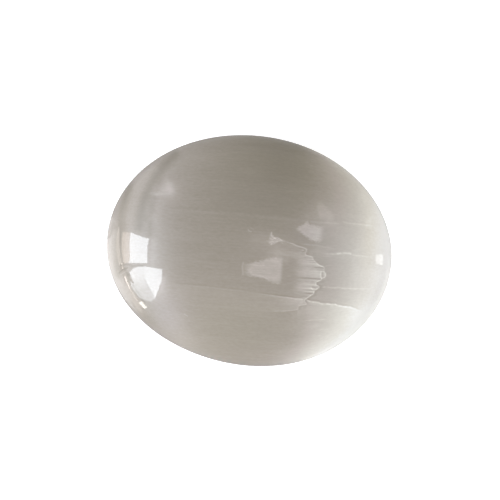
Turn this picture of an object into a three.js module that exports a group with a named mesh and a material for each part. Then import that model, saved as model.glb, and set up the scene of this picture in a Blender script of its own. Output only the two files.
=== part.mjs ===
// A satin spar palm stone: one polished oval pebble, domed on both faces, that fills the palm
// and rests on a small flat spot worn under its middle.
//
// Millimetres, +Z up. The origin is the middle of the flat spot. X runs along the stone's length,
// and Y across its width.

import * as THREE from "three";
import { mergeVertices } from "three/addons/utils/BufferGeometryUtils.js";

// Driving dimensions
const LENGTH = 64;
const LENGTH_TO_WIDTH = 1.242;
const UPPER_DOME = 12.2; // height of the upper face above the girdle
const LOWER_DOME = 11.0; // depth that the lower face would have without its flat spot
const FLAT_DEPTH = 0.22; // how much the flat spot takes off the lower face
const FULLNESS = 2.16; // 2 is a true ellipse in profile, and more is blunter at the rim

// The upper face leans: it is a little higher towards the blunt end, at -X.
const LEAN = 0.06;

// Hand grinding leaves the oval a little uneven. Each wave goes round the girdle a whole number
// of times, and moves it out and in by a share of the radius.
const GIRDLE_WAVES = [
  { times: 3, share: 0.0036, turn: -2.9 },
  { times: 4, share: 0.003, turn: 2.1 },
  { times: 5, share: 0.0012, turn: 0.2 },
];

// Fineness of the facets
const STEPS_ROUND = 96;
const UPPER_STEPS = 17;
const LOWER_STEPS = 13;

const HALF_LENGTH = LENGTH / 2;
const HALF_WIDTH = HALF_LENGTH / LENGTH_TO_WIDTH;
const FLAT_BELOW_GIRDLE = LOWER_DOME - FLAT_DEPTH;

// A point of the profile, at an angle above the girdle. x is the share of the way out to the
// girdle, and y is the height over it.
function profilePoint(angle, dome) {
  const power = 2 / FULLNESS;
  return new THREE.Vector2(
    Math.abs(Math.cos(angle)) ** power,
    dome * Math.sin(angle) ** power,
  );
}

// The angle at which the lower dome has reached the flat spot's level.
function flatAngle() {
  return Math.asin((FLAT_BELOW_GIRDLE / LOWER_DOME) ** (FULLNESS / 2));
}

// Half of the stone's section, from the middle of the flat spot, out round the girdle and up to
// the top.
function sectionProfile() {
  const points = [new THREE.Vector2(0, -FLAT_BELOW_GIRDLE)];
  for (let step = LOWER_STEPS; step > 0; step--) {
    const point = profilePoint((flatAngle() * step) / LOWER_STEPS, LOWER_DOME);
    points.push(new THREE.Vector2(point.x, -point.y));
  }
  for (let step = 0; step < UPPER_STEPS; step++) {
    points.push(profilePoint((Math.PI / 2) * (step / UPPER_STEPS), UPPER_DOME));
  }
  points.push(new THREE.Vector2(0, UPPER_DOME));
  return points;
}

// How far the girdle stands out or in at an angle round the stone, as a share of its radius.
function unevenness(angle) {
  return GIRDLE_WAVES.reduce(
    (sum, wave) => sum + wave.share * Math.cos(wave.times * angle - wave.turn),
    0,
  );
}

// Moves a point of the round unit solid to its place on the stone. The waves are full at the
// girdle and fade to nothing at the middle of each face.
function placeOnStone(point) {
  const out = Math.hypot(point.x, point.y);
  const stretch = 1 + out ** 2 * unevenness(Math.atan2(point.y, point.x));
  const lean = point.z > 0 ? 1 - LEAN * point.x : 1;
  return point.set(
    point.x * HALF_LENGTH * stretch,
    point.y * HALF_WIDTH * stretch,
    point.z * lean,
  );
}

function stoneGeometry() {
  const turned = new THREE.LatheGeometry(sectionProfile(), STEPS_ROUND);
  turned.rotateX(Math.PI / 2);
  turned.deleteAttribute("normal");
  turned.deleteAttribute("uv");
  const geometry = mergeVertices(turned);

  const position = geometry.getAttribute("position");
  const point = new THREE.Vector3();
  for (let i = 0; i < position.count; i++) {
    placeOnStone(point.fromBufferAttribute(position, i));
    position.setXYZ(i, point.x, point.y, point.z);
  }

  // Stands the stone on its flat spot, with the origin under the middle of the oval.
  geometry.computeBoundingBox();
  const { min, max } = geometry.boundingBox;
  geometry.translate(-(min.x + max.x) / 2, -(min.y + max.y) / 2, -min.z);
  geometry.computeVertexNormals();
  return geometry;
}

const satinSpar = new THREE.MeshStandardMaterial({
  name: "satin_spar",
  color: 0xa79f94,
  roughness: 0.12,
  metalness: 0,
});

const palmStone = new THREE.Mesh(stoneGeometry(), satinSpar);
palmStone.name = "palm_stone";

const part = new THREE.Group();
part.name = "satin_spar_palm_stone";
part.add(palmStone);

export default part;
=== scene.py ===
# A satin spar palm stone: one polished oval pebble of fibrous gypsum, seen from straight above.
#
# Metres, +Z up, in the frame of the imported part. X runs along the stone's length, and the origin
# is the middle of the flat spot that the stone rests on.

import math
from collections import namedtuple

import bmesh
import bpy
from bpy.props import FloatProperty, FloatVectorProperty, IntProperty, PointerProperty
from mathutils import Matrix, Vector, noise


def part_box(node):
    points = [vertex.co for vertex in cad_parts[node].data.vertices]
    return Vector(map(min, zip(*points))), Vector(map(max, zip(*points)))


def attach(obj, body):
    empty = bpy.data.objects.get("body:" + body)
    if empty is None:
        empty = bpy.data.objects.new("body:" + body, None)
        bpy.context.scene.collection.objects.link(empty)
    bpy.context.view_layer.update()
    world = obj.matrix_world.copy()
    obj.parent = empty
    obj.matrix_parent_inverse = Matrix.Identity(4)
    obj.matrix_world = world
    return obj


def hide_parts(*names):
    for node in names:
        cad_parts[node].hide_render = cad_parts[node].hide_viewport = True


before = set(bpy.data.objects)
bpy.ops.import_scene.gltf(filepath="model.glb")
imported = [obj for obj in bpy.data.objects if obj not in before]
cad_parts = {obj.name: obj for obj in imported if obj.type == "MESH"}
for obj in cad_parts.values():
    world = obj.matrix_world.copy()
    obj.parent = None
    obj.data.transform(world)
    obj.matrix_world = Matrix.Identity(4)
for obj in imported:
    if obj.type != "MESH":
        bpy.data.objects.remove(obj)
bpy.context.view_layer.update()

bl_info = {
    "name": "Satin spar palm stone",
    "version": (1, 0, 0),
    "blender": (4, 5, 0),
    "location": "3D View > Sidebar > Palm stone",
    "description": "Makes a polished satin spar palm stone, and the plain stage that it lies on",
    "category": "Add Mesh",
}

NODE = "palm_stone"
MM = 0.001
WHITE = (1.0, 1.0, 1.0)


# The stone's form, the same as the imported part's, in millimetres

LENGTH = 64
LENGTH_TO_WIDTH = 1.242
UPPER_DOME = 12.2
LOWER_DOME = 11.0
FLAT_DEPTH = 0.22
FULLNESS = 2.16
LEAN = 0.06
GIRDLE_WAVES = (
    {"times": 3, "share": 0.0036, "turn": -2.9},
    {"times": 4, "share": 0.0030, "turn": 2.1},
    {"times": 5, "share": 0.0012, "turn": 0.2},
)
HALF_LENGTH = LENGTH / 2
HALF_WIDTH = HALF_LENGTH / LENGTH_TO_WIDTH
FLAT_BELOW_GIRDLE = LOWER_DOME - FLAT_DEPTH
WORN_EDGE = 0.02  # how softly the flat spot's edge is worn
POLISH_WAVELENGTH = 9.0


# The view: the camera looks straight down, turned a little against the stone. The framing is how
# far it stands across and up the picture from the stone's middle, in millimetres.

LENS = 100
SENSOR = 36
STONE_SHARE_OF_FRAME = 0.5708
VIEW_TURN = math.radians(7.74)
FRAMING = (0.17, 0.06)


# The polish: a soft silky sheen from the fibres, with a clear gloss over it

GYPSUM_IOR = 1.52
SHEEN_ROUGHNESS = 0.50
SHEEN_ROUGHNESS_CHANGE = 0.03  # how far the fine grain moves it either way
SHEEN_ANISOTROPY = 0.7
GLOSS_ROUGHNESS = 0.02


# Tones: how light a place on the stone looks, from 0 for black to 1 for white

BODY_TONE = 0.564
TONE_COLOURS = (
    (0.44, (120, 111, 97)),
    (0.52, (139, 130, 116)),
    (0.60, (161, 151, 140)),
    (0.68, (182, 172, 164)),
    (0.78, (205, 198, 189)),
    (0.90, (234, 229, 221)),
    (0.98, (252, 250, 247)),
)

# The stone's thin edge lets more light through. Its tone rises by so much towards the girdle,
# over that many millimetres of height.
EDGE_TONE = 0.05
EDGE_HEIGHT = 7.9

# The silky fibres run along the stone, turned a little from its length. The marks' places are in
# millimetres in the fibres' own frame: the first number is along them and the second across.
FIBRE_TURN = math.radians(3.74)

# How strongly the marks, painted reflections and sheen among them, show from below, and over
# what height that changes
FROM_BELOW = 0.45
SHOW_HEIGHTS = (6.0, 12.0)

# A noise texture gives 0 to 1, most of it near the middle. Spread so far, it's about -1 to 1.
NOISE_SPREAD = 4.0
GRAIN_DETAIL = 2.0
WANDER_DETAIL = 1.0

# The silky grain: patches of that size, in millimetres, that are lighter and darker by that tone
FINE_GRAIN = {"size": (26, 0.5, 0.5), "tone": 0.008}
BROAD_GRAIN = {"size": (45, 2.4, 2.4), "tone": 0.008}
SHORT_GRAIN = {"size": (5, 0.3, 0.3), "tone": 0.007}
FLECKS = {"size": (0.9, 0.4, 0.4), "tone": 0.014}

# How flaky the veils are: patches of that size that change a veil's tone by that share of it, and
# how ragged their edges are, in millimetres
FLAKY_CLOUDS = {"size": (2.4, 0.28, 0.28), "share": 0.26}
FLAKY_SPECKS = {"size": (0.5, 0.2, 0.2), "share": 0.16}
RAGGED_EDGE = {"size": (0.7, 0.3, 0.3), "move": 0.3}

# What the marks are made from. Widths, reaches, fades and depths are in millimetres, and turns in
# degrees. A mark's tone is added to the body's, and the cracks' line, veil and shade are tones too.
Zone = namedtuple("Zone", "centre reach change turn", defaults=(0,))
Veil = namedtuple("Veil", "top foot fades soft tone")
Line = namedtuple("Line", "points width tone")
Crack = namedtuple("Crack", "path fades width line veil depth shade", defaults=(0.0, 1.0, 0.0))
Fibre = namedtuple("Fibre", "across width reach tone")

# Soft oval zones in the body, as the change to its tone. The milky zones are partly the stone's
# own paler part and partly a painted glow of window light shining through the stone to its far
# side.
ZONES = {
    "darker upper right": Zone((37, 45), (13, 46), -0.21, -49),
    # Partly the stone's milky part, partly a painted glow of light shining through to the far side
    "milky and painted-glow end": Zone((31.5, 8.5), (11.8, 32), 0.43, -3),
    "milky and painted-glow foot": Zone((17.8, -35.6), (18, 9), 1, 59),
    "milky and painted-glow streak": Zone((39, -13.7), (36, 3), 0.07, -3),
    "milky and painted-glow shoulder": Zone((23, 34), (8.6, 11.8), 0.93, -15),
    "light foot": Zone((-8, -45), (34.5, 3), 0.042, -77),
    # Painted sheen: the soft glow round the window's reflection, painted into the colour
    "window's glow": Zone((-19.6, -4), (2.6, 9.5), 0.035),
    "window's low glow": Zone((-18, -9.4), (1.3, 2.8), 0.03),
    "low left shade": Zone((-21.2, -15.6), (3, 5), -0.055, 25),
    "mottling": Zone((-1, 17), (3, 1.6), 0.015),
    "pearly patch": Zone((-18.3, 12.4), (1.2, 1.5), 0.075, 20),
    "pearly wing": Zone((-17.9, 11.3), (1.3, 0.8), 0.03),
    "pearly tail": Zone((-20.9, 10.85), (1.4, 0.45), 0.075),
    "pearly side": Zone((-20.4, 12), (1.1, 0.8), 0.02),
    # Painted sheen beside the window's reflection
    "painted sheen spot": Zone((-21.4, 5.6), (0.9, 0.9), 0.035),
    "pearly haze": Zone((-19.3, 11.8), (3.2, 2.6), 0.042),
    "crown": Zone((6, -0.2), (2.3, 2), 0.06),
    "scaly haze": Zone((3, 2.7), (3.6, 1.5), 0.035),
    "flaky haze": Zone((15, 7.8), (3.6, 1.8), 0.035, -20),
    "flaky upper haze": Zone((15.2, 11), (3.4, 1.8), 0.025, -10),
    "flaky wisp": Zone((11.8, 8.3), (0.9, 0.5), 0.025),
    "crown's side": Zone((8.2, -1.6), (0.8, 0.6), 0.03),
    "middle haze": Zone((1.5, 0.5), (4, 2.5), 0.012),
    "hook's haze": Zone((15, 0.8), (2.5, 1.1), 0.02),
    # Partly the stone's milky part, partly a painted glow of light shining through to the far side
    "milky and painted-glow border": Zone((14.8, -9), (1.9, 14), 0.018),
    "crack's upper shade": Zone((21, -9.5), (2.6, 0.8), -0.03, -5),
    "east shade": Zone((23, 5), (2.5, 3), -0.02),
    "low shade": Zone((10, -19.5), (2.5, 1.8), -0.02),
    "east wisp": Zone((25.8, 8.2), (0.8, 1.2), 0.035, -20),
    "east cloud": Zone((24.5, 13.4), (1.3, 1.1), 0.03, -40),
}

# Veils seen through the upper face. Three are painted reflections of the window off the stone's
# underside: the pane reflection and the two inner reflections. The scaly patch is a gas-filled
# parting inside the stone. Each lies between its foot and its top, and fades in and out along the
# fibres over its two fades.
PAINTED_REFLECTIONS_AND_PARTINGS = {
    "painted pane reflection": Veil(
        top=(
            (-1.5, -2.9), (0.5, -2.7), (1.6, -2.35), (3.6, -1.75), (5, -1.3), (6.2, -1.15),
            (7.8, -1.8),
        ),
        foot=(
            (-1.5, -5.3), (1, -5.4), (3, -5.8), (4.5, -6.2), (5.6, -6.55), (6.6, -6.6),
            (7.8, -6.3),
        ),
        fades=(2.4, 1), soft=0.5, tone=0.1,
    ),
    "painted inner reflection": Veil(
        top=(
            (9.4, 5.2), (10.3, 5.85), (11.4, 6.4), (12.1, 7), (12.8, 6.4), (13.5, 6.3),
            (16.3, 6.1),
        ),
        foot=((9.4, 5), (10.6, 4.7), (11.6, 4.1), (12.6, 3.5), (13.8, 3), (14.7, 2.9), (16.3, 3.9)),
        fades=(1.2, 1.8), soft=0.4, tone=0.115,
    ),
    "small painted inner reflection": Veil(
        top=((13.2, 10.9), (14.8, 11.1), (16, 10.5), (17.2, 9.6), (18.4, 8.7)),
        foot=((13.2, 10.3), (14.3, 9.2), (15, 8.2), (16.5, 7.6), (18.4, 7.4)),
        fades=(1.4, 1.3), soft=0.7, tone=0.045,
    ),
    "scaly patch": Veil(
        top=((3.7, 2.9), (4.4, 3.9), (5.2, 3.4), (6.2, 3.1), (7.2, 2.7), (8.2, 2.45)),
        foot=((3.7, 1.8), (4.6, 1.6), (5.6, 1.9), (6.6, 2.1), (8.2, 2.1)),
        fades=(0.9, 1.8), soft=0.2, tone=0.06,
    ),
}

# Short bent lines, light or dark, through some points. Some are painted: dark reflections of the
# room and the window's frame, a sheen band, and the bright edges of the pane reflection.
LINES = {
    # Painted dark reflections near the left rim: the room's darker band, painted into the colour
    "painted dark reflection arc": Line(
        (
            (-24.3, 3.4), (-24.2, 6), (-23.8, 9), (-22.8, 12), (-21.7, 14.5), (-20.3, 16.7),
            (-17.9, 20),
        ),
        1.1, -0.075,
    ),
    "painted outer dark reflection arc": Line(((-27.6, 12), (-28.4, 6), (-28.6, 0), (-28.4, -7)), 1.1, -0.07),
    "painted reflection arc's inner side": Line(((-21.8, 2), (-21.9, 6), (-21.6, 9.5), (-20.4, 13.5)), 0.9, -0.035),
    "comb's inner foot": Line(((14, -8.9), (13.2, -9.5), (12.75, -9.95)), 0.13, 0.05),
    # Painted reflections of the window's crossing bars and of the dark beside the low lamp, as
    # light and dark strokes in the colour
    "crossing's painted dark reflection": Line(((-27.6, -4.9), (-25.5, -5.2), (-23, -5)), 0.3, -0.045),
    "crossing's painted crinkled reflection": Line(((-27.3, -5.6), (-26.6, -6.6), (-25.9, -7.2)), 0.35, -0.08),
    "crossing's painted lower crinkled reflection": Line(((-28.3, -7), (-27.3, -6.1), (-26.3, -5.7)), 0.14, -0.09),
    "crossing's painted glint": Line(((-27.9, -7.4), (-27, -6.7), (-26.3, -6.4)), 0.11, 0.04),
    "crossing's painted upper glint": Line(((-27.5, -5.8), (-26.8, -5.3), (-26, -5.3)), 0.11, 0.04),
    "painted dark reflection by the lamp": Line(
        ((-26.2, -7.4), (-25.2, -9), (-23.6, -11.2), (-22.2, -13)), 0.35, -0.055,
    ),
    # A painted sheen band: the silky light beside the window's reflection, painted into the colour
    "painted sheen band": Line(((-20.9, 0.4), (-20.8, -4.4)), 1.1, 0.045),
    "painted sheen band's top": Line(((-20.6, 8), (-20.5, 3)), 1.3, 0.018),
    "painted sheen band's foot": Line(((-18, -7.5), (-18.6, -9.8), (-19.8, -11.8)), 0.6, 0.035),
    # The painted pane reflection's bright edges and spot, painted into the colour
    "painted pane reflection's end": Line(((-1.1, -2.8), (-1.25, -3.6), (-1.1, -4.5), (-1, -5.2)), 0.2, 0.055),
    "painted pane reflection's upper glint": Line(((1.2, -3.1), (3.4, -3.05)), 0.15, 0.045),
    "painted pane reflection's lower glint": Line(((1.2, -5.3), (3.3, -5.45), (4.6, -6)), 0.14, 0.05),
    "painted pane reflection's spot": Line(((0.4, -4.5), (0.7, -4.65)), 0.25, 0.03),
    "scaly arm": Line(((4.55, 4.2), (4.5, 3.6), (4.85, 3.2), (5.5, 2.85)), 0.16, 0.09),
    "scaly bridge": Line(((5.3, 3), (5.9, 3.25), (6.5, 2.75)), 0.15, 0.04),
    "scaly leg": Line(
        ((4.75, 2.15), (5.4, 2.35), (6.1, 2.4), (6.6, 2.65), (8.2, 2.35)), 0.16, 0.045,
    ),
    "scaly foot": Line(((3.7, 2.25), (4.5, 2.15)), 0.16, 0.04),
    "scaly crinkle": Line(
        ((4.3, 2.9), (4.9, 2.65), (5.3, 3.05), (5.9, 2.75), (6.3, 3), (6.9, 2.6)), 0.13, 0.075,
    ),
    "lower crinkle": Line(((4.2, 1.9), (4.8, 2.35), (5.3, 1.95), (5.9, 2.3)), 0.13, 0.055),
    "scaly spot": Line(((4.65, 1.55), (4.75, 1.8)), 0.16, 0.07),
    "hook's spot": Line(((11.45, 0.8), (11.7, 0.8)), 0.13, 0.05),
    "hook's pocket": Line(((11.5, 0.45), (11.95, 0.7), (11.9, 1.05)), 0.12, -0.035),
    "comb's inner tip": Line(
        ((15.85, -3.6), (15.75, -4.2), (15.85, -4.7), (16.05, -5)), 0.12, 0.07,
    ),
    "comb's tip gap": Line(((16.2, -3.8), (16.35, -4.7)), 0.2, -0.1),
    "comb's inner tooth": Line(((14, -7.25), (14.4, -7.65)), 0.14, 0.07),
    "comb's tooth gap": Line(((14.3, -7), (15, -7.2)), 0.2, -0.09),
    "speck": Line(((-0.5, 4.4), (-0.35, 4.2), (0.15, 4.05)), 0.13, 0.08),
    "second speck": Line(((0, 4.8), (0.6, 4.6)), 0.12, 0.045),
    "pit": Line(((-13.1, -14.85), (-12.4, -15.2)), 0.13, 0.055),
}

# Healed cracks. Each runs through its path, fades in and out over its two fades, and can have a
# veil that fades with depth below it and a thin shade above it.
CRACKS = {
    "long": Crack(
        ((-18, -8.45), (-8, -8.6), (0, -9), (4, -9.3), (8, -9.6), (12.6, -9.9)),
        (6, 0.3), 0.15, 0.02, veil=0.01, depth=3, shade=-0.012,
    ),
    "long crack's end": Crack(
        ((1, -9.05), (4, -9.3), (8, -9.6), (11, -9.75), (12.6, -9.9)),
        (9, 0.5), 0.12, 0.1, veil=0.02, depth=0.9, shade=-0.03,
    ),
    "bright": Crack(
        (
            (12.9, -9.8), (14, -10.15), (15.9, -10.3), (16.3, -10.43), (19.5, -10.5), (20, -10.65),
            (21.5, -10.78), (23, -10.95), (24, -11.2), (26.4, -12),
        ),
        (0.6, 3.2), 0.16, 0.155, veil=0.075, depth=1.1, shade=-0.04,
    ),
    "upper": Crack(
        ((-20, 7.6), (-8, 7.6), (4, 7.5), (8, 7.3), (14, 7.15), (19.6, 7)),
        (8, 3), 0.25, 0.018, veil=0.006, depth=1.5, shade=-0.006,
    ),
    "upper wisp": Crack(((14, 7.2), (17, 7.15), (18.4, 7.15), (19.8, 7)), (2.5, 1.5), 0.2, 0.035),
    "upper end": Crack(
        ((19.2, 7.65), (20.5, 7.5), (22, 7.38), (25.5, 7.3), (27.5, 7.2)),
        (1.5, 2.5), 0.18, 0.055, shade=-0.01,
    ),
    "second": Crack(
        ((10.5, 2.2), (13, 2.1), (15, 2), (16.5, 1.85), (19, 1.6)),
        (1.5, 2), 0.16, 0.045,
    ),
    "third": Crack(
        ((15, 0.6), (17, 0.45), (18, 0.45), (19, 0.6), (20, 0.72), (21.2, 0.84), (22.5, 0.72)),
        (4.5, 0.4), 0.22, 0.115, veil=0.01, depth=0.8, shade=-0.01,
    ),
    "third crack's tail": Crack(
        ((22.2, 0.45), (23, 0.55), (25, 0.42), (28, 0.35)),
        (0.6, 3.5), 0.17, 0.06, veil=0.01, depth=1.5,
    ),
    "third crack's twin": Crack(((15.5, -0.15), (18.3, -0.1)), (1, 1), 0.15, 0.03),
    "tip": Crack(((16.6, -2.45), (17.1, -2.12), (18, -2), (19.5, -2)), (0.3, 1.8), 0.15, 0.03),
    "fourth": Crack(
        ((15.9, -7), (17.2, -6.85), (19, -6.85), (20, -6.7), (21, -6.87), (23, -6.8), (27.5, -6.6)),
        (1.2, 4), 0.18, 0.07, veil=-0.01,
    ),
    "fifth": Crack(
        ((12, -14.6), (15, -14.2), (18.5, -13.9)),
        (2, 1.5), 0.16, 0.04, veil=-0.015, depth=0.8,
    ),
    "sixth": Crack(((14, -15.6), (17, -15.4)), (1.2, 1.2), 0.2, 0.025),
    "seventh": Crack(((15.8, -16.25), (18.8, -16.1)), (1.2, 1.2), 0.18, 0.03),
    "eighth": Crack(((14.5, -17.9), (18.3, -17.3)), (1, 1.5), 0.2, 0.022),
    "ninth": Crack(((0.3, -13.7), (3.2, -13.65)), (1, 1), 0.2, 0.02),
    "sliver's foot": Crack(
        ((4, -13.15), (6, -12.9), (8, -12.7), (10, -12.4), (11.5, -12.05)),
        (5, 0.3), 0.14, 0.045, veil=-0.045, depth=1.1,
    ),
}

# A crack wanders off its path by so much, and its line is brighter in some patches than in others.
# The paces are how fast both change along it, and its seed keeps it unlike the other cracks.
CRACK_WANDER = {"pace": 0.6, "move": 0.05}
CRACK_PATCHES = {"pace": 1.1, "change": 0.3, "middle": 0.9}
CRACK_SEED_STEP = 7.3
CRACK_SHADE = {"above": 2.2, "width": 1.3}  # in widths of the crack's line

# The comb-edged fracture. Its front, as places across the fibres and how far along them it
# reaches there, goes in and out in teeth. The fibres behind it show as light and dark lines.
COMB_FRONT = (
    (-12.2, 11.25), (-12, 11.4), (-11.55, 11.45), (-11.2, 11.8), (-11.05, 12.3), (-10.95, 12.8),
    (-10.75, 13.15), (-10.4, 12.95), (-10, 12.75), (-9.7, 12.95), (-9.4, 13.3), (-9.1, 13.6),
    (-8.8, 14.05), (-8.5, 14.45), (-8.1, 14.65), (-7.75, 14.72), (-7.5, 15.12), (-7.2, 15.45),
    (-6.95, 15.72), (-6.6, 15.35), (-6.3, 14.95), (-5.95, 14.95), (-5.75, 15.25), (-5.55, 15.6),
    (-5.3, 15.95), (-5, 16.15), (-4.85, 16.5), (-4.55, 16.88), (-4.1, 16.97), (-3.75, 16.83),
    (-3.4, 16.55), (-3.1, 16.48), (-2.75, 16.47), (-2.5, 16.25), (-2.3, 15.85), (-2.1, 15.3),
    (-1.85, 14.95), (-1.5, 14.5), (-1.25, 14.22), (-0.95, 13.95), (-0.65, 13.82), (-0.42, 13.45),
    (-0.27, 12.9), (-0.12, 12.3), (0.2, 12.18), (0.6, 12.35), (0.95, 12.38), (1.15, 12.15),
    (1.4, 11.5), (1.55, 10.9), (1.75, 10.1), (2.15, 9), (2.4, 7.9),
)
COMB_STEP = 0.05  # how far beside a place the front's slope is read
COMB_SOFTNESS = 0.08  # how softly its inside starts at the front
COMB_PAST_FOOT = 0.1  # how far past its foot it is drawn
COMB_END_FADE = 0.3  # over what length its two ends fade

# How brightly the front's rim shines, at places across the fibres
COMB_SHINE = (
    (-12.2, 0.5), (-11.6, 0.4), (-11, 1), (-10.3, 0.6), (-9.2, 1.2), (-8.1, 1.3), (-7.5, 0.7),
    (-6.9, 0.8), (-6.3, 1.1), (-5.7, 1.3), (-5.1, 1.4), (-4.4, 0.8), (-3.6, 0.8), (-3, 0.6),
    (-2.4, 1.4), (-1.9, 0.9), (-1.3, 0.7), (-0.7, 0.8), (-0.3, 1.3), (0.3, 0.6), (1, 1.1),
    (1.6, 1.2), (2.4, 1.2),
)
COMB_RIM = {"width": 0.13, "tone": 0.095}

# How brightly the inside glows at places across the fibres, how far along them the glow starts
# there, and where it is full
COMB_GLOW = (
    (-12.2, 0.15), (-11.3, 0.3), (-10.7, 0.65), (-10.2, 0.9), (-9.6, 0.9), (-9, 0.45),
    (-8.2, 0.65), (-7.2, 1.2), (-6.2, 1), (-5.2, 0.8), (-4, 1.2), (-3.2, 0.9), (-2.7, 0.8),
    (-1.9, 1.2), (-1, 0.95), (-0.3, 0.9), (0.3, 0.7), (1, 0.3), (1.8, 0.6), (2.4, 0.6),
)
COMB_GLOW_TONE = 0.085
COMB_GLOW_START = (
    (-12.2, 6.5), (-9.8, 6.8), (-9, 9.2), (-7, 9.2), (-2, 9.2), (-0.8, 6.5), (0.2, 4.5),
    (2.4, 4.5),
)
COMB_GLOW_FULL = 12.4

# The thin shade just ahead of the front. It starts below "from" and is full one fade lower.
COMB_SHADE = {"from": -5.0, "fade": 1.0, "ahead": 0.35, "width": 0.35, "tone": -0.035}
COMB_GRAIN = {"size": (7.0, 0.16, 0.16), "tone": 0.028}
FIBRE_FADE_START = 0.1  # the share of its reach after which a fibre starts to fade
COMB_FIBRES = (
    Fibre(-0.5, 0.11, 2.5, 0.04), Fibre(-0.75, 0.11, 3.5, -0.05), Fibre(-1, 0.11, 3, 0.04),
    Fibre(-1.25, 0.11, 2.5, -0.045), Fibre(-1.45, 0.1, 3, 0.045), Fibre(-1.7, 0.11, 2.5, -0.055),
    Fibre(-2, 0.2, 6, 0.045), Fibre(-2.35, 0.13, 2, 0.06), Fibre(-2.7, 0.14, 3.5, -0.13),
    Fibre(-3.2, 0.12, 3, -0.06), Fibre(-3.55, 0.17, 5, 0.055), Fibre(-4.05, 0.18, 6, 0.035),
    Fibre(-4.75, 0.14, 3.5, 0.05), Fibre(-5.15, 0.15, 8, -0.12), Fibre(-5.55, 0.13, 3.5, 0.05),
    Fibre(-5.9, 0.15, 5, -0.02), Fibre(-6.5, 0.22, 5.5, 0.055), Fibre(-6.85, 0.12, 4, -0.03),
    Fibre(-7.35, 0.16, 4.5, 0.1), Fibre(-7.7, 0.13, 4, -0.1), Fibre(-8.05, 0.14, 3.5, 0.1),
    Fibre(-8.4, 0.14, 4, -0.1), Fibre(-8.8, 0.12, 2.5, 0.03), Fibre(-9.15, 0.2, 3, -0.04),
)

# Soft zones where the stone's colour leans another way, as the change to its red, green and blue.
# The bluish ones on the left are painted cool daylight from the window.
CASTS = {
    "painted daylight side": Zone((-25, 2), (12, 26), (-0.02, 0, 0.07)),
    "painted window-light tint": Zone((-20, -3), (4, 8), (-0.02, 0, 0)),
    # The painted inner reflection's bluish daylight tint
    "painted inner reflection": Zone((13, 4.8), (3.5, 2.2), (0, -0.006, 0.025)),
    "warm shoulder": Zone((18, 18), (16, 9), (0.01, 0, -0.06)),
    "right foot": Zone((22, -14), (8, 7), (-0.01, 0, -0.02)),
    "east": Zone((17, 1), (5.5, 8), (-0.025, 0, 0)),
    "right rim": Zone((26.5, 5), (2.5, 8), (0.015, 0, -0.05)),
    "mossy top": Zone((5, 21), (12, 6), (0, 0, -0.05)),
    # Painted bluish glow below the window's reflection
    "painted bluish window glow": Zone((-17, -16), (4.5, 5), (0, 0, 0.07)),
    "mossy foot": Zone((0, -16), (14, 7), (-0.015, 0, -0.035)),
}


def screen_colour(red, green, blue):
    """A colour as a screen shows it, from 0 to 255, in the linear values that a shader takes.

    The numbers are those of the usual curve between the two."""
    linear = []
    for channel in (red, green, blue):
        share = channel / 255
        linear.append(share / 12.92 if share <= 0.04045 else ((share + 0.055) / 1.055) ** 2.4)
    return tuple(linear)


# Building shader nodes


def new_material(name):
    """An empty material, with its node tree and the socket that its surface goes into."""
    material = bpy.data.materials.new(name)
    material.use_nodes = True
    tree = material.node_tree
    tree.nodes.clear()
    return material, tree, tree.nodes.new("ShaderNodeOutputMaterial").inputs["Surface"]


def feed(tree, socket, source):
    """Gives a socket its value, or links it to the socket that the value comes from."""
    if isinstance(source, bpy.types.NodeSocket):
        tree.links.new(source, socket)
    else:
        socket.default_value = source


def maths(tree, operation, *sources):
    """One Math node, as the socket that its result comes out of."""
    node = tree.nodes.new("ShaderNodeMath")
    node.operation = operation
    for socket, source in zip(node.inputs, sources):
        feed(tree, socket, source)
    return node.outputs["Value"]


def total(tree, values):
    """The sum of some values, each added as soon as its nodes are made, so few are kept at once."""
    result = None
    for value in values:
        result = value if result is None else maths(tree, "ADD", result, value)
    return result


def multiply(tree, *sources):
    """The product of two or more values."""
    product = sources[0]
    for source in sources[1:]:
        product = maths(tree, "MULTIPLY", product, source)
    return product


def ease(tree, value, start, end, low=0.0, high=1.0):
    """A smooth step from low, where the value is start, to high, where it is end."""
    node = tree.nodes.new("ShaderNodeMapRange")
    node.interpolation_type = "SMOOTHSTEP"
    node.clamp = False
    limits = {"From Min": start, "From Max": end, "To Min": low, "To Max": high}
    for name, source in {"Value": value, **limits}.items():
        feed(tree, node.inputs[name], source)
    return node.outputs["Result"]


def bell(tree, distance, width):
    """1 where the distance is nothing, falling to about a third one width away."""
    share = maths(tree, "DIVIDE", distance, width)
    squared = maths(tree, "MULTIPLY", share, share)
    return maths(tree, "EXPONENT", maths(tree, "MULTIPLY", squared, -1.0))


def parts_of(tree, vector):
    """A vector's X, Y and Z, each as a socket."""
    node = tree.nodes.new("ShaderNodeSeparateXYZ")
    feed(tree, node.inputs["Vector"], vector)
    return node.outputs["X"], node.outputs["Y"], node.outputs["Z"]


def vector_maths(tree, operation, first, second, output="Vector"):
    """One Vector Math node, as the socket that its result comes out of."""
    node = tree.nodes.new("ShaderNodeVectorMath")
    node.operation = operation
    feed(tree, node.inputs[0], first)
    feed(tree, node.inputs["Scale" if operation == "SCALE" else 1], second)
    return node.outputs[output]


def vector_of(tree, x, y, z):
    """Three values as one vector."""
    node = tree.nodes.new("ShaderNodeCombineXYZ")
    for socket, source in zip(node.inputs, (x, y, z)):
        feed(tree, socket, source)
    return node.outputs["Vector"]


def clouds(tree, dimensions, place_name, source, detail):
    """Smooth noise, about -1 to 1, at the place that the source gives."""
    node = tree.nodes.new("ShaderNodeTexNoise")
    node.noise_dimensions = dimensions
    node.inputs["Scale"].default_value = 1.0
    node.inputs["Detail"].default_value = detail
    feed(tree, node.inputs[place_name], source)
    return maths(tree, "MULTIPLY_ADD", node.outputs["Fac"], NOISE_SPREAD, -NOISE_SPREAD / 2)


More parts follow.
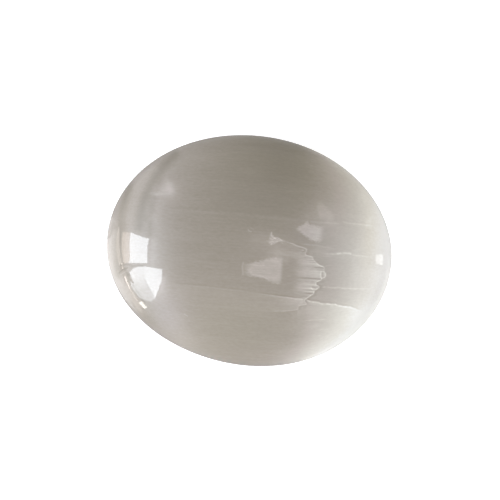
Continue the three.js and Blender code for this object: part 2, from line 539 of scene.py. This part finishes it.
def grain(tree, position, size):
    """Cloudy noise, about -1 to 1, with patches of that size in millimetres."""
    stretch = tree.nodes.new("ShaderNodeMapping")
    stretch.inputs["Scale"].default_value = [1 / length for length in size]
    feed(tree, stretch.inputs["Vector"], position)
    return clouds(tree, "3D", "Vector", stretch.outputs["Vector"], GRAIN_DETAIL)


def wander(tree, value):
    """Smooth noise along one value, about -1 to 1."""
    return clouds(tree, "1D", "W", value, WANDER_DETAIL)


def curve(tree, value, points):
    """A smooth curve through some points, each of them a value and what the curve gives for it."""
    first = points[0][0]
    length = points[-1][0] - first
    results = [result for _, result in points]
    lowest = min(results)
    span = max(results) - lowest
    share = maths(tree, "MULTIPLY_ADD", value, 1 / length, -first / length)
    node = tree.nodes.new("ShaderNodeFloatCurve")
    node.mapping.extend = "HORIZONTAL"
    drawn = node.mapping.curves[0].points
    places = [((start - first) / length, (result - lowest) / span) for start, result in points]
    drawn[0].location = places[0]
    drawn[1].location = places[-1]
    for spot in places[1:-1]:
        drawn.new(*spot)
    for point in drawn:
        point.handle_type = "AUTO_CLAMPED"
    node.mapping.update()
    tree.links.new(share, node.inputs["Value"])
    return maths(tree, "MULTIPLY_ADD", node.outputs["Value"], span, lowest)


def between(tree, value, start, end, fade_in, fade_out):
    """1 between the start and the end, fading in after the one and out before the other."""
    full_from = maths(tree, "ADD", start, fade_in)
    full_to = maths(tree, "SUBTRACT", end, fade_out)
    rise = ease(tree, value, start, full_from)
    return multiply(tree, rise, ease(tree, value, full_to, end, 1.0, 0.0))


# The groups' inputs that are a place. The others are plain values.
VECTOR_INPUTS = ("Position", "First point", "Second point")


def new_group(name, inputs, outputs):
    """An empty shader node group, with its input and output nodes."""
    tree = bpy.data.node_groups.new(name, "ShaderNodeTree")
    for label in inputs:
        kind = "NodeSocketVector" if label in VECTOR_INPUTS else "NodeSocketFloat"
        tree.interface.new_socket(label, in_out="INPUT", socket_type=kind)
    for label in outputs:
        tree.interface.new_socket(label, in_out="OUTPUT", socket_type="NodeSocketFloat")
    return tree, tree.nodes.new("NodeGroupInput").outputs, tree.nodes.new("NodeGroupOutput").inputs


def place(tree, group, *sources):
    """A group placed in a tree, with a value for each of its inputs, as its output sockets."""
    node = tree.nodes.new("ShaderNodeGroup")
    node.node_tree = group
    for socket, source in zip(node.inputs, sources, strict=True):
        feed(tree, socket, source)
    return node.outputs


def local_frame(tree, given):
    """The position in a frame of a mark's own, from its place and its turn in degrees."""
    local = tree.nodes.new("ShaderNodeMapping")
    local.vector_type = "TEXTURE"
    feed(tree, local.inputs["Vector"], given["Position"])
    feed(tree, local.inputs["Location"], vector_of(tree, given["Along"], given["Across"], 0.0))
    turn = maths(tree, "RADIANS", given["Turn"])
    feed(tree, local.inputs["Rotation"], vector_of(tree, 0.0, 0.0, turn))
    return parts_of(tree, local.outputs["Vector"])


def zone_group():
    """A soft oval zone, that fades out all round."""
    tree, given, result = new_group(
        "Soft zone",
        ("Position", "Along", "Across", "Turn", "Reach along", "Reach across"),
        ("Mask",),
    )
    along, across, _ = local_frame(tree, given)
    lengthwise = bell(tree, along, given["Reach along"])
    mask = multiply(tree, lengthwise, bell(tree, across, given["Reach across"]))
    tree.links.new(mask, result["Mask"])
    return tree


def veil_group():
    """A veil between a foot and a top, that fades in and out along the fibres."""
    tree, given, result = new_group(
        "Veil",
        ("Along", "Over foot", "Under top", "Start", "End", "Fade in", "Fade out", "Softness"),
        ("Mask",),
    )
    soft = given["Softness"]
    outside = multiply(tree, soft, -1.0)
    low_side = ease(tree, given["Over foot"], outside, soft)
    high_side = ease(tree, given["Under top"], outside, soft)
    ends = [given[name] for name in ("Start", "End", "Fade in", "Fade out")]
    mask = multiply(tree, low_side, high_side, between(tree, given["Along"], *ends))
    tree.links.new(mask, result["Mask"])
    return tree


def line_group():
    """How far a place is from the straight line between two points."""
    tree, given, result = new_group(
        "Short line", ("Position", "First point", "Second point"), ("Distance",)
    )
    way = vector_maths(tree, "SUBTRACT", given["Second point"], given["First point"])
    gone = vector_maths(tree, "SUBTRACT", given["Position"], given["First point"])
    gone_along = vector_maths(tree, "DOT_PRODUCT", gone, way, "Value")
    whole = vector_maths(tree, "DOT_PRODUCT", way, way, "Value")
    share = maths(tree, "DIVIDE", gone_along, whole)
    share = maths(tree, "MINIMUM", maths(tree, "MAXIMUM", share, 0.0), 1.0)
    nearest = vector_maths(tree, "SCALE", way, share)
    tree.links.new(vector_maths(tree, "DISTANCE", gone, nearest, "Value"), result["Distance"])
    return tree


def crack_group():
    """A healed crack: an uneven line, the veil that fades out below it, and a shade above it."""
    tree, given, result = new_group(
        "Healed crack",
        ("Along", "Offset", "Start", "End", "Fade in", "Fade out", "Width", "Depth", "Seed"),
        ("Line", "Veil", "Shade"),
    )
    along = given["Along"]
    drift = wander(tree, maths(tree, "MULTIPLY_ADD", along, CRACK_WANDER["pace"], given["Seed"]))
    offset = maths(tree, "MULTIPLY_ADD", drift, CRACK_WANDER["move"], given["Offset"])
    ends = between(tree, along, given["Start"], given["End"], given["Fade in"], given["Fade out"])
    patches = wander(tree, maths(tree, "MULTIPLY_ADD", along, CRACK_PATCHES["pace"], given["Seed"]))
    change = CRACK_PATCHES["change"]
    strength = maths(tree, "MULTIPLY_ADD", patches, change, CRACK_PATCHES["middle"])
    line = multiply(tree, bell(tree, offset, given["Width"]), ends, strength)
    below = maths(tree, "MAXIMUM", multiply(tree, offset, -1.0), 0.0)
    share = maths(tree, "DIVIDE", below, given["Depth"])
    fade = maths(tree, "EXPONENT", multiply(tree, share, -1.0))
    veil = multiply(tree, ease(tree, below, 0.0, given["Width"]), fade, ends)
    above = maths(tree, "MULTIPLY_ADD", given["Width"], -CRACK_SHADE["above"], offset)
    shade_width = multiply(tree, given["Width"], CRACK_SHADE["width"])
    shade = multiply(tree, bell(tree, above, shade_width), ends)
    tree.links.new(line, result["Line"])
    tree.links.new(veil, result["Veil"])
    tree.links.new(shade, result["Shade"])
    return tree


def comb_group():
    """Where a place lies against the comb's front: on its rim, behind it or just ahead of it."""
    tree, given, result = new_group(
        "Comb fracture",
        (
            "Along", "Front", "Front beside", "Rim width",
            "Fade start", "Fade end", "Shade ahead", "Shade width",
        ),
        ("Rim", "Behind", "Ahead", "Depth"),
    )
    ahead = maths(tree, "SUBTRACT", given["Along"], given["Front"])
    step = maths(tree, "SUBTRACT", given["Front beside"], given["Front"])
    slope = maths(tree, "DIVIDE", step, COMB_STEP)
    steepness = maths(tree, "SQRT", maths(tree, "MULTIPLY_ADD", slope, slope, 1.0))
    distance = maths(tree, "DIVIDE", ahead, steepness)
    depth = multiply(tree, ahead, -1.0)
    inside = ease(tree, distance, -COMB_SOFTNESS, COMB_SOFTNESS, 1.0, 0.0)
    rise = ease(tree, given["Along"], given["Fade start"], given["Fade end"])
    behind = multiply(tree, inside, rise)
    past_rim = maths(tree, "SUBTRACT", distance, given["Shade ahead"])
    tree.links.new(bell(tree, distance, given["Rim width"]), result["Rim"])
    tree.links.new(behind, result["Behind"])
    tree.links.new(bell(tree, past_rim, given["Shade width"]), result["Ahead"])
    tree.links.new(depth, result["Depth"])
    return tree


def fibre_group():
    """One fibre that stands out among the others, and fades out with its depth behind the comb."""
    tree, given, result = new_group(
        "Single fibre", ("Across", "Place", "Width", "Depth", "Reach"), ("Mask",)
    )
    distance = maths(tree, "SUBTRACT", given["Across"], given["Place"])
    start = multiply(tree, given["Reach"], FIBRE_FADE_START)
    fade = ease(tree, given["Depth"], start, given["Reach"], 1.0, 0.0)
    tree.links.new(multiply(tree, bell(tree, distance, given["Width"]), fade), result["Mask"])
    return tree


# The stone


def unevenness(angle):
    """How far the girdle stands out or in at an angle round the stone, as a share of its radius."""
    return sum(
        wave["share"] * math.cos(wave["times"] * angle - wave["turn"]) for wave in GIRDLE_WAVES
    )


def place_on_stone(point):
    """Where a point of the unit ball lies on the stone, in millimetres from the girdle's middle."""
    power = 2 / FULLNESS
    height = max(-1.0, min(1.0, point.z))
    out = math.sqrt(1 - height * height) ** power
    angle = math.atan2(point.y, point.x)
    stretch = 1 + out**2 * unevenness(angle)
    x = out * math.cos(angle)
    y = out * math.sin(angle)
    if height > 0:
        z = UPPER_DOME * height**power * (1 - LEAN * x)
    else:
        over_flat = FLAT_BELOW_GIRDLE - LOWER_DOME * abs(height) ** power
        worn = (over_flat + math.hypot(over_flat, WORN_EDGE)) / 2
        z = worn - FLAT_BELOW_GIRDLE
    return Vector((x * HALF_LENGTH * stretch, y * HALF_WIDTH * stretch, z))


def box_of(points):
    """The lowest and highest corner round some points."""
    low = Vector([min(point[axis] for point in points) for axis in range(3)])
    high = Vector([max(point[axis] for point in points) for axis in range(3)])
    return low, high


def fit_to_frame(model):
    """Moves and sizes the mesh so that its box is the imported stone's, in metres."""
    low, high = box_of([vert.co for vert in model.verts])
    wanted_low, wanted_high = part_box(NODE)
    size = high - low
    wanted_size = wanted_high - wanted_low
    share = Vector([wanted_size[axis] / size[axis] for axis in range(3)])
    bmesh.ops.translate(model, verts=model.verts, vec=-low)
    bmesh.ops.scale(model, verts=model.verts, vec=share)
    bmesh.ops.translate(model, verts=model.verts, vec=wanted_low)


def stone_mesh(settings):
    """The stone's smooth surface, with the slight waves that polishing by hand leaves."""
    model = bmesh.new()
    bmesh.ops.create_icosphere(model, subdivisions=settings.fineness, radius=1)
    for vert in model.verts:
        spot = place_on_stone(vert.co.normalized())
        wave = noise.noise(spot / POLISH_WAVELENGTH) * settings.polish_waves / MM
        vert.co = spot * (1 + wave / HALF_WIDTH)
    fit_to_frame(model)
    bmesh.ops.recalc_face_normals(model, faces=model.faces)
    for face in model.faces:
        face.smooth = True
    mesh = bpy.data.meshes.new("Polished_stone")
    model.to_mesh(mesh)
    model.free()
    return mesh


def zone_mask(tree, group, position, zone):
    """How strongly one zone shows at a position."""
    return place(tree, group, position, *zone.centre, zone.turn, *zone.reach)["Mask"]


def zone_tones(tree, group, position):
    """The soft zones' tones, one by one, the painted glow and sheen among them."""
    for zone in ZONES.values():
        yield multiply(tree, zone_mask(tree, group, position, zone), zone.change)


def cast_colour(tree, group, position):
    """What the stone's colour is multiplied by: white, that leans another way in some zones."""
    cast = WHITE
    for zone in CASTS.values():
        mask = zone_mask(tree, group, position, zone)
        change = vector_maths(tree, "SCALE", zone.change, mask)
        cast = vector_maths(tree, "ADD", change, cast)
    return cast


def reflection_and_parting_tones(tree, position):
    """The veils' and painted reflections' tones, one by one."""
    group = veil_group()
    along, straight, _ = parts_of(tree, position)
    ragged = grain(tree, position, RAGGED_EDGE["size"])
    across = maths(tree, "MULTIPLY_ADD", ragged, RAGGED_EDGE["move"], straight)
    for veil in PAINTED_REFLECTIONS_AND_PARTINGS.values():
        over_foot = maths(tree, "SUBTRACT", across, curve(tree, along, veil.foot))
        under_top = maths(tree, "SUBTRACT", curve(tree, along, veil.top), across)
        ends = (veil.foot[0][0], veil.foot[-1][0], *veil.fades)
        masks = place(tree, group, along, over_foot, under_top, *ends, veil.soft)
        yield multiply(tree, masks["Mask"], veil.tone)


def line_tones(tree, position):
    """The short lines' tones, one by one."""
    group = line_group()
    along, across, _ = parts_of(tree, position)
    flat = vector_of(tree, along, across, 0.0)
    for line in LINES.values():
        points = [(*point, 0.0) for point in line.points]
        nearest = None
        for first, second in zip(points, points[1:]):
            distance = place(tree, group, flat, first, second)["Distance"]
            nearest = maths(tree, "MINIMUM", nearest, distance) if nearest else distance
        yield multiply(tree, bell(tree, nearest, line.width), line.tone)


def crack_tones(tree, position):
    """The healed cracks' tones, one by one."""
    group = crack_group()
    along, across, _ = parts_of(tree, position)
    for seed, crack in enumerate(CRACKS.values()):
        offset = maths(tree, "SUBTRACT", across, curve(tree, along, crack.path))
        ends = (crack.path[0][0], crack.path[-1][0], *crack.fades)
        look = (crack.width, crack.depth, seed * CRACK_SEED_STEP)
        masks = place(tree, group, along, offset, *ends, *look)
        for part, tone in (("Line", crack.line), ("Veil", crack.veil), ("Shade", crack.shade)):
            if tone:
                yield multiply(tree, masks[part], tone)


def fibre_tones(tree, across, depth):
    """The tones of the fibres that stand out behind the comb's front, one by one."""
    group = fibre_group()
    for fibre in COMB_FIBRES:
        masks = place(tree, group, across, fibre.across, fibre.width, depth, fibre.reach)
        yield multiply(tree, masks["Mask"], fibre.tone)


def comb_tones(tree, position):
    """The comb-edged fracture's tones, one by one."""
    along, across, _ = parts_of(tree, position)
    masks = place(
        tree,
        comb_group(),
        along,
        curve(tree, across, COMB_FRONT),
        curve(tree, maths(tree, "ADD", across, COMB_STEP), COMB_FRONT),
        COMB_RIM["width"],
        curve(tree, across, COMB_GLOW_START),
        COMB_GLOW_FULL,
        COMB_SHADE["ahead"],
        COMB_SHADE["width"],
    )
    foot = COMB_FRONT[0][0]
    top = COMB_FRONT[-1][0]
    limits = between(tree, across, foot - COMB_PAST_FOOT, top, COMB_END_FADE, COMB_END_FADE)
    behind = multiply(tree, masks["Behind"], limits)
    yield multiply(tree, masks["Rim"], limits, curve(tree, across, COMB_SHINE), COMB_RIM["tone"])
    yield multiply(tree, behind, curve(tree, across, COMB_GLOW), COMB_GLOW_TONE)

    shade_top = COMB_SHADE["from"]
    low_part = ease(tree, across, shade_top - COMB_SHADE["fade"], shade_top, 1.0, 0.0)
    yield multiply(tree, masks["Ahead"], low_part, limits, COMB_SHADE["tone"])

    fibres = total(tree, fibre_tones(tree, across, masks["Depth"]))
    comb_grain = grain(tree, position, COMB_GRAIN["size"])
    strands = maths(tree, "MULTIPLY_ADD", comb_grain, COMB_GRAIN["tone"], fibres)
    yield multiply(tree, behind, strands)


def body_tones(tree, soft_zone, position, fine):
    """The tones of the stone's body, one by one: base, grain, thin edge and zones."""
    yield BODY_TONE
    yield multiply(tree, fine, FINE_GRAIN["tone"])
    for patches in (BROAD_GRAIN, SHORT_GRAIN, FLECKS):
        yield multiply(tree, grain(tree, position, patches["size"]), patches["tone"])
    height = parts_of(tree, position)[2]
    from_girdle = maths(tree, "ABSOLUTE", maths(tree, "SUBTRACT", height, FLAT_BELOW_GIRDLE))
    thinness = maths(tree, "MULTIPLY_ADD", from_girdle, -1 / EDGE_HEIGHT, 1.0)
    thinness = maths(tree, "MAXIMUM", thinness, 0.0)
    yield multiply(tree, thinness, thinness, EDGE_TONE)
    yield from zone_tones(tree, soft_zone, position)


def mark_tones(tree, position):
    """The marks' tones, one by one: marks inside the stone, painted reflections and sheen."""
    veils = total(tree, reflection_and_parting_tones(tree, position))
    patches = multiply(tree, grain(tree, position, FLAKY_CLOUDS["size"]), FLAKY_CLOUDS["share"])
    specks = grain(tree, position, FLAKY_SPECKS["size"])
    flakes = maths(tree, "MULTIPLY_ADD", specks, FLAKY_SPECKS["share"], patches)
    yield maths(tree, "MULTIPLY_ADD", veils, flakes, veils)
    yield from line_tones(tree, position)
    yield from crack_tones(tree, position)
    yield from comb_tones(tree, position)


def satin_spar_material():
    """Polished satin spar: silky fibres, darker and milky zones and white cracks under a gloss.

    Painted glow, painted sheen and painted reflections of the window are in its colour too.
    """
    material, tree, result = new_material("Satin spar")
    surface = tree.nodes.new("ShaderNodeBsdfPrincipled")
    tree.links.new(surface.outputs["BSDF"], result)

    where = tree.nodes.new("ShaderNodeTexCoord")
    fibres = tree.nodes.new("ShaderNodeMapping")
    fibres.inputs["Rotation"].default_value = (0, 0, -FIBRE_TURN)
    fibres.inputs["Scale"].default_value = (1 / MM, 1 / MM, 1 / MM)
    tree.links.new(where.outputs["Object"], fibres.inputs["Vector"])
    position = fibres.outputs["Vector"]

    soft_zone = zone_group()
    fine = grain(tree, position, FINE_GRAIN["size"])
    shown = ease(tree, parts_of(tree, position)[2], *SHOW_HEIGHTS, FROM_BELOW, 1.0)
    marks = multiply(tree, total(tree, mark_tones(tree, position)), shown)
    body = total(tree, body_tones(tree, soft_zone, position, fine))
    tone = maths(tree, "ADD", body, marks)

    colours = tree.nodes.new("ShaderNodeValToRGB")
    ramp = colours.color_ramp
    while len(ramp.elements) < len(TONE_COLOURS):
        ramp.elements.new(0.5)
    for stop, (place_on_ramp, colour) in zip(ramp.elements, TONE_COLOURS):
        stop.position = place_on_ramp
        stop.color = (*screen_colour(*colour), 1)
    tree.links.new(tone, colours.inputs["Fac"])
    cast = cast_colour(tree, soft_zone, position)
    leaning = vector_maths(tree, "MULTIPLY", colours.outputs["Color"], cast)
    tree.links.new(leaning, surface.inputs["Base Color"])

    roughness = maths(tree, "MULTIPLY_ADD", fine, SHEEN_ROUGHNESS_CHANGE, SHEEN_ROUGHNESS)
    tree.links.new(roughness, surface.inputs["Roughness"])
    surface.inputs["IOR"].default_value = GYPSUM_IOR
    surface.inputs["Specular IOR Level"].default_value = 1.0
    surface.inputs["Anisotropic"].default_value = SHEEN_ANISOTROPY
    across_fibres = vector_of(tree, -math.sin(FIBRE_TURN), math.cos(FIBRE_TURN), 0.0)
    tree.links.new(across_fibres, surface.inputs["Tangent"])
    surface.inputs["Coat Weight"].default_value = 1.0
    surface.inputs["Coat Roughness"].default_value = GLOSS_ROUGHNESS
    surface.inputs["Coat IOR"].default_value = GYPSUM_IOR
    return material


class StoneSettings(bpy.types.PropertyGroup):
    """How finely the stone is made, and how evenly it is polished."""

    fineness: IntProperty(
        name="Fineness",
        description="How many times the starting ball's faces are split",
        default=7,
        min=4,
        max=7,
    )
    polish_waves: FloatProperty(
        name="Polish waves",
        description="How far hand polishing moves the surface out and in",
        default=0.016 * MM,
        min=0,
        unit="LENGTH",
    )


class StageSettings(bpy.types.PropertyGroup):
    """The floor, the room's light and the window beside the stone."""

    floor_size: FloatProperty(
        name="Floor size",
        description="Length of each side of the floor",
        default=6.0,
        unit="LENGTH",
    )
    floor_colour: FloatVectorProperty(
        name="Floor colour",
        description="Colour of the floor",
        subtype="COLOR",
        size=3,
        default=(0.9, 0.9, 0.9),
        min=0,
        max=1,
    )
    floor_glow: FloatProperty(
        name="Floor glow",
        description="Light from under the floor, as from a lit sweep",
        default=0.6,
    )
    mirrored_floor_glow: FloatProperty(
        name="Mirrored floor glow",
        description="How bright the floor looks in the stone's gloss",
        default=0.35,
    )
    room_light: FloatProperty(
        name="Room light",
        description="Brightness of the soft light from all round",
        default=0.6,
    )
    window_light: FloatProperty(
        name="Window light",
        description="Brightness of the window's panes",
        default=9.5,
    )


class PALMSTONE_OT_stone(bpy.types.Operator):
    """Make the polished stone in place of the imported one"""

    bl_idname = "palmstone.stone"
    bl_label = "Make the stone"

    def execute(self, context):
        mesh = stone_mesh(context.scene.palm_stone)
        stone = bpy.data.objects.new("Polished_palm_stone", mesh)
        context.scene.collection.objects.link(stone)
        stone.data.materials.append(satin_spar_material())
        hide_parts(NODE)
        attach(stone, "root")
        return {"FINISHED"}


# The stage

# The lights stand far off on both sides. Each one's corners are in millimetres: across the
# picture, up the picture, and up from the floor. Its share is its brightness against the window's.
LEFT = -600
RIGHT = 600
TABLE_HEIGHT = 0.4
DAYLIGHT = (0.89, 0.94, 1.0)
Light = namedtuple("Light", "colour share corners")


def on_left(colour, share, *corners):
    """A light on the left, from how far up the picture and up from the floor each corner is."""
    return Light(colour, share, [(LEFT, *corner) for corner in corners])


def on_table(colour, share, *corners):
    """A light just over the table, from how far across and up the picture each corner is."""
    return Light(colour, share, [(*corner, TABLE_HEIGHT) for corner in corners])


LIGHTS = {
    "Upper_pane": on_left(
        DAYLIGHT, 1.04, (-124, 262), (-100, 300), (-50, 318), (98, 318), (64, 684), (-150, 625)
    ),
    "Lower_pane": on_left(
        DAYLIGHT, 1.08, (-406, 493), (-287, 487), (-174, 565), (-236, 903), (-350, 815),
        (-436, 625), (-488, 480),
    ),
    "Curtained_pane": on_left(
        DAYLIGHT, 0.9, (-245, 217), (-193, 216), (-173, 327), (-165, 425), (-174, 565), (-245, 516)
    ),
    "Curtained_pane_side": on_left(
        DAYLIGHT, 0.76, (-297, 219), (-245, 217), (-245, 516), (-287, 487)
    ),
    "Shaded_pane": on_left(
        DAYLIGHT, 0.62, (-350, 121), (-310, 110), (-255, 150), (-297, 219), (-287, 487), (-350, 490)
    ),
    "Shaded_pane_side": on_left(
        DAYLIGHT, 0.48, (-505, 320), (-420, 140), (-350, 121), (-350, 490), (-406, 493), (-490, 482)
    ),
    "Sill": on_left(
        (1, 0.86, 0.76), 0.41, (95, 150), (98, 318), (-50, 318), (-100, 300), (-124, 262),
        (-125, 150),
    ),
    "Low_lamp": on_left((1, 0.9, 0.82), 1, (-216, 44), (-316, 27), (-316, 62), (-216, 88)),
    "Low_lamp_tip": on_left((1, 0.9, 0.8), 1, (-118, 92), (-160, 78), (-160, 96), (-118, 108)),
    "Low_lamp_side": on_left((1, 0.88, 0.78), 0.6, (-316, 27), (-440, 8), (-440, 36), (-316, 56)),
    "Small_lamp": on_left((1, 0.96, 0.87), 1.2, (-455, 0), (-530, 0), (-530, 118), (-455, 126)),
    "Right_lamp": Light(
        WHITE, 0.45, ((RIGHT, -65, 4), (RIGHT, 3, 6), (RIGHT, 5, 208), (RIGHT, -61, 206))
    ),
    "Soft_fill": Light(
        WHITE, 0.13, ((300, -560, 40), (RIGHT, -100, 40), (RIGHT, -100, 560), (300, -560, 560))
    ),
}

# Bright places that only the stone's gloss sees: the wall by the window, and the table
MIRRORED = {
    "Bright_wall": on_left(
        WHITE, 0.11, (165, 0), (180, 330), (311, 241), (612, 196), (812, 120), (812, 0)
    ),
    "Bright_table_top": on_table(
        WHITE, 0.1, (LEFT, 165), (LEFT, 812), (-34, 35), (-45, 37), (-67, 42), (-123, 55)
    ),
    "Wall_foot": on_left(
        (1, 0.93, 0.87), 0.36, (124, 0), (118, 51), (37, 90), (-49, 100), (-118, 88), (-135, 0)
    ),
    "Table_by_window": on_table(
        WHITE, 0.19, (LEFT, 112), (LEFT, -360), (-52, -30), (-49, -18), (-48, -4), (-49, 4),
        (-64, 8),
    ),
    "Table_by_stone": on_table(
        WHITE, 0.14, (-49, 4), (-48, -4), (-49, -18), (-52, -30), (-40, -28), (-37, -18),
        (-36, -4), (-36, 3),
    ),
    "Table_edge": on_table(
        WHITE, 0.09, (LEFT, 112), (-64, 8), (-36, 3), (-36, 9), (-64, 17), (LEFT, 150)
    ),
    "Table_by_lamp": on_table(
        (1, 0.93, 0.87), 0.2, (LEFT, -330), (LEFT, -480), (-58, -46), (-50, -33), (-95, -52)
    ),
    "Table_on_right": on_table(
        (1, 0.97, 0.92), 0.07, (26, -3), (24, -12), (10, -20), (18, -46), (50, -34), (62, -8)
    ),
}


def from_picture(across, up, height):
    """A place in metres, from millimetres across and up the picture and above the floor."""
    turned = Matrix.Rotation(VIEW_TURN, 3, "Z") @ Vector((across, up, height))
    return turned * MM


def glow(tree, colour, strength):
    """A plain glowing surface, as the socket that it comes out of."""
    node = tree.nodes.new("ShaderNodeEmission")
    node.inputs["Color"].default_value = (*colour, 1)
    node.inputs["Strength"].default_value = strength
    return node.outputs["Emission"]


def glowing_material(name, colour, strength):
    """A material that only glows."""
    material, tree, result = new_material(name)
    tree.links.new(glow(tree, colour, strength), result)
    return material


def flat_piece(name, corners, material):
    """A flat sheet with those corners, for the stage."""
    model = bmesh.new()
    model.faces.new([model.verts.new(corner) for corner in corners])
    mesh = bpy.data.meshes.new(name)
    model.to_mesh(mesh)
    model.free()
    sheet = bpy.data.objects.new(name, mesh)
    bpy.context.scene.collection.objects.link(sheet)
    mesh.materials.append(material)
    return sheet


def make_light(name, light, brightness):
    """One glowing sheet, which the camera doesn't see."""
    places = [from_picture(*corner) for corner in light.corners]
    material = glowing_material(name, light.colour, brightness * light.share)
    sheet = flat_piece(name, places, material)
    sheet.visible_camera = False
    return sheet


def make_lights(settings):
    """The window and the lamps, and the bright places that mirror in the stone's gloss."""
    for name, light in LIGHTS.items():
        make_light(name, light, settings.window_light)
    for name, light in MIRRORED.items():
        sheet = make_light(name, light, settings.window_light)
        sheet.visible_diffuse = False
        sheet.visible_transmission = False
        sheet.visible_shadow = False


def floor_material(settings):
    """A pale matt floor that glows a little. In the stone's gloss it looks a plain grey."""
    material, tree, result = new_material("Pale floor")
    matt = tree.nodes.new("ShaderNodeBsdfDiffuse")
    matt.inputs["Color"].default_value = (*settings.floor_colour, 1)
    both = tree.nodes.new("ShaderNodeAddShader")
    tree.links.new(matt.outputs["BSDF"], both.inputs[0])
    tree.links.new(glow(tree, WHITE, settings.floor_glow), both.inputs[1])
    mirrored = glow(tree, WHITE, settings.mirrored_floor_glow)
    seen = tree.nodes.new("ShaderNodeLightPath")
    choice = tree.nodes.new("ShaderNodeMixShader")
    tree.links.new(seen.outputs["Is Glossy Ray"], choice.inputs["Fac"])
    tree.links.new(both.outputs["Shader"], choice.inputs[1])
    tree.links.new(mirrored, choice.inputs[2])
    tree.links.new(choice.outputs["Shader"], result)
    return material


def make_floor(settings):
    """The floor that the stone rests on."""
    half = settings.floor_size / 2
    corners = ((-half, -half, 0), (half, -half, 0), (half, half, 0), (-half, half, 0))
    flat_piece("Floor", corners, floor_material(settings))


def make_room(settings):
    """Soft light from all round."""
    world = bpy.data.worlds.new("Soft room")
    world.use_nodes = True
    background = world.node_tree.nodes["Background"]
    background.inputs["Color"].default_value = (*WHITE, 1)
    background.inputs["Strength"].default_value = settings.room_light
    bpy.context.scene.world = world


def make_camera():
    """The camera, straight above the stone."""
    data = bpy.data.cameras.new("Camera")
    data.lens = LENS
    data.sensor_width = SENSOR
    camera = bpy.data.objects.new("Camera", data)
    bpy.context.scene.collection.objects.link(camera)
    view_width = LENGTH / STONE_SHARE_OF_FRAME
    height = FLAT_BELOW_GIRDLE + view_width * LENS / SENSOR
    camera.location = from_picture(FRAMING[0], FRAMING[1], height)
    camera.rotation_euler = (0, 0, VIEW_TURN)
    bpy.context.scene.camera = camera


class PALMSTONE_OT_stage(bpy.types.Operator):
    """Make the floor, the lights and the camera"""

    bl_idname = "palmstone.stage"
    bl_label = "Make the stage"

    def execute(self, context):
        settings = context.scene.palm_stone_stage
        make_floor(settings)
        make_room(settings)
        make_lights(settings)
        make_camera()
        context.scene.view_settings.view_transform = "Standard"
        return {"FINISHED"}


class PALMSTONE_PT_sidebar(bpy.types.Panel):
    """The stone and its stage in the sidebar"""

    bl_idname = "PALMSTONE_PT_sidebar"
    bl_label = "Palm stone"
    bl_space_type = "VIEW_3D"
    bl_region_type = "UI"
    bl_category = "Palm stone"

    def draw(self, context):
        layout = self.layout
        for settings, operator in (
            (context.scene.palm_stone, PALMSTONE_OT_stone),
            (context.scene.palm_stone_stage, PALMSTONE_OT_stage),
        ):
            box = layout.box()
            for name in settings.__annotations__:
                box.prop(settings, name)
            box.operator(operator.bl_idname)


CLASSES = (
    StoneSettings, StageSettings, PALMSTONE_OT_stone, PALMSTONE_OT_stage, PALMSTONE_PT_sidebar,
)


def register():
    for new_class in CLASSES:
        bpy.utils.register_class(new_class)
    bpy.types.Scene.palm_stone = PointerProperty(type=StoneSettings)
    bpy.types.Scene.palm_stone_stage = PointerProperty(type=StageSettings)


def unregister():
    del bpy.types.Scene.palm_stone_stage
    del bpy.types.Scene.palm_stone
    for old_class in reversed(CLASSES):
        bpy.utils.unregister_class(old_class)


def main():
    register()
    bpy.ops.palmstone.stone()
    bpy.ops.palmstone.stage()


if __name__ == "__main__":
    main()
